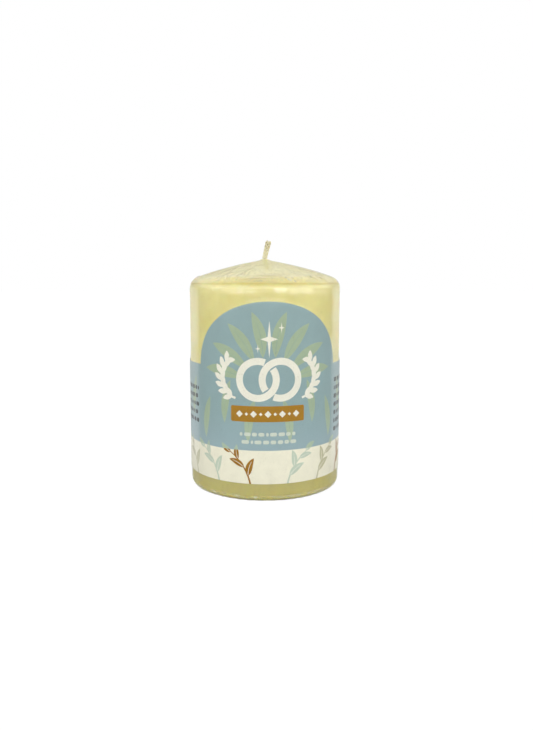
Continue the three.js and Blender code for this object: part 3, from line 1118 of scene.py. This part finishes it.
def film_stand_off(angle, outline, points):
    """How far the film stands off the wax, how milky it is with painted highlights added, and how
    much painted shade darkens its folds, at each of its points."""
    height, radius = outline[:, 1:2], outline[:, 0:1]
    around = (angle + math.pi) % TURN - math.pi
    on_top = ramp(height, CREASE_HEIGHT - 0.1, CREASE_HEIGHT + 0.8)
    under = 1 - ramp(height, WAX_BASE - 0.05, WAX_BASE + 0.6)
    on_side = (1 - on_top) * (1 - under)

    # It lies close on the label and spans the step at the label's edge.
    across = around * LABEL_OUTER
    drawn_in = np.clip((height - DRUM_HEIGHT) / (SHOULDER_HEIGHT - DRUM_HEIGHT), 0, 1) ** 2
    inside = inside_label(across, height)
    hover = np.maximum(1 - ramp(np.abs(across), 34, 52), np.exp(np.minimum(inside, 0) / 4))
    gap = FAR_GAP + (SIDE_GAP - FAR_GAP) * hover
    away = FILM_CLEARANCE + (gap - FILM_CLEARANCE) * (1 - drawn_in) * on_side
    on_label = ramp(inside, -1.6, 0.8) * on_side
    away = away + on_label * (LABEL_OUTER - WAX_RADIUS + LABEL_GAP - gap)
    away = away + on_label * label_lift(np.abs(across)) * np.where(across > 0, 1.0, 0.6)

    # Folds, slack waves, the crease round the shoulder, the back seam and the gathered foot.
    x, y = points[..., 0], points[..., 1]
    folds = dome_creases(x, y) * on_top * ramp(radius, 2.5, 6)
    marks = side_creases(angle, height) * on_side
    waves = np.maximum(0.05 + 0.1 * noise_at(points, 14, 5) + 0.03 * noise_at(points, 4, 6), 0)
    slack = 0.12 + 0.16 * noise_at(points, 9, 4) + 0.07 * noise_at(points, 4, 14)
    waves = waves + hump(height, SHOULDER_HEIGHT - 1.0, 3.2) * slack
    groove = hump(height, CREASE_HEIGHT, 0.32) * (0.75 + 0.6 * noise_at(points, 6, 9))
    seam = hump((angle - math.pi - 0.35) * WAX_RADIUS, 0, 0.55) * on_side
    gather = (np.sin(angle * 46 + 3 * noise_at(points, 20, 8)) + 1) * 0.12 * under
    away = away + folds + marks + waves - 0.07 * groove + 0.22 * seam + gather

    # Painted sheen and painted shade: a band round the shoulder is made milkier, and darker at the front.
    milky_top = CREASE_HEIGHT + 3.4 + 4.5 * noise_at(points, 7, 15)
    on_shoulder = on_top * (1 - ramp(height, milky_top - 1.4, milky_top + 1.4))
    painted_glints = sum(crease(x, y, *glint) for glint in PAINTED_GLINTS) * on_top
    # Painted highlight: a light line round the film just above the foot.
    painted_foot_highlight = hump(height, WAX_BASE + 1.8, 0.35) * np.maximum(0.5 + 1.6 * noise_at(points, 3, 12), 0)
    haze_and_glints = 0.006 + 0.03 * on_top + 0.3 * np.clip(folds, 0, 0.4) + 0.5 * np.clip(marks, 0, 0.2)
    haze_and_glints = haze_and_glints + 0.1 * under + 0.13 * on_shoulder + painted_glints + 0.15 * seam + 0.4 * painted_foot_highlight
    # Painted shade: the see-through colour darkens on the dome's folds, along the crease round the
    # shoulder, and at the front of the shoulder.
    fold = 0.26 * ramp(folds, 0.08, 0.24) + 0.36 * groove + 0.12 * on_shoulder * hump(around, 0, 0.55)
    return away, haze_and_glints, fold


def shrink_film():
    """The clear sleeve, as one thin closed sheet from the wick hole to the hole under the base."""
    columns = 250
    hole, end = 1.9, 21.0
    outline = pillar_outline(hole, end, edge=WAX_EDGE_ROUND + 0.3, steps=(0.5, 0.26, 1.0))
    angle = (np.arange(columns) * TURN / columns)[None, :]
    base = turned(outline, columns)
    normals = outline_normals(outline)
    away, haze_and_glints, fold = film_stand_off(angle, outline, base)
    radius, height = outline[:, 0:1], outline[:, 1:2]
    away = np.where(height < WAX_BASE + 0.001, np.minimum(away, WAX_BASE - FLOOR_CLEARANCE), away)
    ragged = 0.22 * np.sin(3 * angle + 1) + 0.15 * np.sin(7 * angle)
    rim = np.where(height > TOP_HALF, 1 - ramp(radius, hole, hole + 3.5), 0)
    shown = base + away[..., None] * place(angle, normals[:, 0:1], normals[:, 1:2])
    outward = place(angle, 1.0 + 0 * normals[:, 0:1], -DOME_SLOPE + 0 * normals[:, 0:1])
    shown += (rim * ragged)[..., None] * outward
    shown[..., 2] = np.maximum(shown[..., 2], FLOOR_CLEARANCE)
    hidden = shown - FILM_THICKNESS * place(angle, normals[:, 0:1], normals[:, 1:2])
    piece = closed_piece("film_sleeve", np.concatenate([shown, hidden[::-1]]), 75)
    for name, values in (("haze_and_glints", haze_and_glints), ("fold", fold)):
        values = values + 0 * angle
        both = np.concatenate([values, values[::-1]]).astype(np.float32).ravel()
        piece.data.attributes.new(name, "FLOAT", "POINT").data.foreach_set("value", both)
    return piece


# ---------------------------------------------------------------- light, floor and camera


FRONT_LIGHT = (3.8, 0.4)  # from the wall in front: low down, and high up
FRONT_MIRRORED = (2.1, 0.9)  # the same as the film mirrors it
BACK_LIGHT = 0.7
BACK_MIRRORED = (0.45, 1.3)
CEILING = (0.46, 0.9)  # its light, and as the film mirrors it
FRONT_FLOOR = 0.26
BACK_FLOOR = (0.68, 0.95)  # near the candle, and far off
BACK_HALF_ANGLE = 60.5  # of the pale part of the floor and wall behind the candle
BACK_TURN = 2.0  # how far that part is turned to the right
BACK_APEX = -0.035  # on the floor that part starts from this Y

LAMP_DISTANCE = 0.9
# Each lamp's azimuth and elevation, its width and height in metres, and its brightness.
LAMPS = (
    (-66, 8.5, 0.6, 0.13, 1.5),
    (-40, 10.5, 0.15, 0.08, 7.0),
    (-20, 10.5, 0.18, 0.06, 8.5),
    (17, 10.3, 0.22, 0.045, 15.0),
    (50, 8.5, 0.65, 0.15, 2.2),
)


def floor_light(s, x, y, far):
    """Light off the floor towards x, y: dark in front, and pale behind, more so far off."""
    turn, edge = math.radians(BACK_TURN), math.cos(math.radians(BACK_HALF_ANGLE))
    length = s.length(x, y)
    behind = s.plus(s.times(y, math.cos(turn)), s.times(x, math.sin(turn)))
    share = s.maths("DIVIDE", behind, s.plus(length, 1e-6))
    back = s.between(far(length), *BACK_FLOOR)
    return s.between(s.spread(share, edge - 0.025, edge + 0.025), FRONT_FLOOR, back)


def studio_world():
    """A bright wall in front, a pale one behind and a dim ceiling. The camera sees white."""
    s = Nodes(bpy.data.worlds.new("studio"))
    bpy.context.scene.world = s.owner
    ray = s.node("LightPath").outputs
    mirrored = ray["Is Glossy Ray"]
    x, y, z = s.parts(s.node("TexCoord").outputs["Generated"])
    front = (s.spread(z, 0.3, 0.6, *ends) for ends in (FRONT_LIGHT, FRONT_MIRRORED))
    front = s.between(mirrored, *front)
    back = s.between(mirrored, BACK_LIGHT, s.spread(z, 0.15, 0.75, *BACK_MIRRORED))
    walls = s.between(s.spread(y, 0.1, 0.5), front, back)
    upper = s.between(s.spread(z, 0.8, 0.92), walls, s.between(mirrored, *CEILING))
    lower = floor_light(s, x, y, lambda length: 1.0)
    room = s.between(s.spread(z, -0.02, 0.2), lower, upper)
    strength = s.between(ray["Is Camera Ray"], room, 1.0)
    s.finish(s.node("Background", Color=(1, 1, 1, 1), Strength=strength), "OutputWorld")


def floor():
    """A plain pale floor. The camera sees it almost evenly white, with the candle's faint shade.
    The film mirrors it darker close to the candle."""
    size, cells = 6.0, 8
    mesh = bpy.data.meshes.new("floor")
    bottom = film_low.z * MM - 0.00005
    steps = np.linspace(-size, size, cells + 1)
    vertices = [(x, y, bottom) for y in steps for x in steps]
    corner = [j * (cells + 1) + i for j in range(cells) for i in range(cells)]
    mesh.from_pydata(vertices, [], [[c, c + 1, c + cells + 2, c + cells + 1] for c in corner])
    piece = bpy.data.objects.new("floor", mesh)
    bpy.context.scene.collection.objects.link(piece)
    s = Shader("floor_paper")
    ray = s.node("LightPath").outputs
    x, y, _ = s.parts(s.node("TexCoord").outputs["Object"])
    shade = s.between(ray["Is Glossy Ray"], 1.0, s.spread(s.length(x, y), 0.045, 0.085, 0.4, 1.0))
    light = floor_light(s, x, s.maths("SUBTRACT", y, BACK_APEX), lambda far: s.spread(far, 0.3, 1.1))
    lit = s.node("Emission", Color=(1, 1, 1, 1), Strength=s.times(light, shade))
    seen = s.node("AddShader")
    s.put(seen.inputs[0], s.node("BsdfDiffuse", Color=(0.12, 0.12, 0.12, 1)))
    s.put(seen.inputs[1], s.node("Emission", Color=(1, 1, 1, 1), Strength=0.93))
    piece.data.materials.append(s.finish(s.layered(ray["Is Camera Ray"], lit, seen)))


def soft_box(name, azimuth, elevation, width, height, brightness):
    """A soft lamp that only the film mirrors. Azimuth 0 is in front, 90 on the right."""
    light = bpy.data.lights.new(name, "AREA")
    light.shape = "RECTANGLE"
    light.size, light.size_y = width, height
    light.energy = brightness * math.pi * width * height
    lamp = bpy.data.objects.new(name, light)
    a, e = math.radians(azimuth), math.radians(elevation)
    back = Vector((math.sin(a) * math.cos(e), -math.cos(a) * math.cos(e), math.sin(e)))
    lamp.location = Vector((0, 0, 0.09)) + back * LAMP_DISTANCE
    lamp.rotation_mode = "QUATERNION"
    lamp.rotation_quaternion = back.to_track_quat("Z", "Y")
    lamp.visible_diffuse = False
    bpy.context.scene.collection.objects.link(lamp)


CAMERA_DISTANCE = 294.65
CAMERA_HEIGHT = 94.18
CAMERA_PITCH = 7.59
CAMERA_AZIMUTH = -3.0
CAMERA_LENS = 30.71  # on a 36 mm sensor, along the picture's long side
CAMERA_SHIFT = 0.0023
CAMERA_SHIFT_UP = 0.0005


def camera():
    data = bpy.data.cameras.new("camera")
    data.lens = CAMERA_LENS
    data.sensor_width = 36
    data.shift_x = CAMERA_SHIFT
    data.shift_y = CAMERA_SHIFT_UP
    data.clip_start, data.clip_end = 0.01, 20
    piece = bpy.data.objects.new("camera", data)
    a, pitch = math.radians(CAMERA_AZIMUTH), math.radians(CAMERA_PITCH)
    flat = Vector((math.sin(a), -math.cos(a), 0))
    piece.location = (flat * CAMERA_DISTANCE + Vector((0, 0, CAMERA_HEIGHT))) * MM
    look = (-flat * math.cos(pitch) - Vector((0, 0, math.sin(pitch)))).normalized()
    piece.rotation_mode = "QUATERNION"
    piece.rotation_quaternion = look.to_track_quat("-Z", "Y")
    bpy.context.scene.collection.objects.link(piece)
    bpy.context.scene.camera = piece


# ---------------------------------------------------------------- the candle


def stands_for(piece, slot, *nodes, material=None):
    """Gives a piece its material, if one is named, and hides the CAD nodes it is shown for."""
    if material:
        piece.data.materials.append(material)
    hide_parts(*nodes)
    return piece


for piece in (
    stands_for(wax_core(), "core_wax", "wax_core", material=core_material()),
    stands_for(wax_skin(), "skin_wax", "wax_overdip", material=wax_material()),
    stands_for(wick_tab(), "tab_metal", "wick_tab", material=tin_material()),
    stands_for(glue_strip(), "label_glue", "label_glue_strip", material=glue_material()),
    stands_for(shrink_film(), "clear_film", "shrink_film", material=film_material()),
    stands_for(paper_label(), "label_paper", "paper_label"),
):
    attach(piece, "candle")

braid = stands_for(wick(), "wick_cotton", "wick_stem", "wick_tip", material=wick_material())
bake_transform(braid)

studio_world()
floor()
for number, lamp in enumerate(LAMPS):
    soft_box(f"soft_box_{number}", *lamp)
camera()

scene = bpy.context.scene
scene.view_settings.view_transform = "Standard"
scene.cycles.use_denoising = True
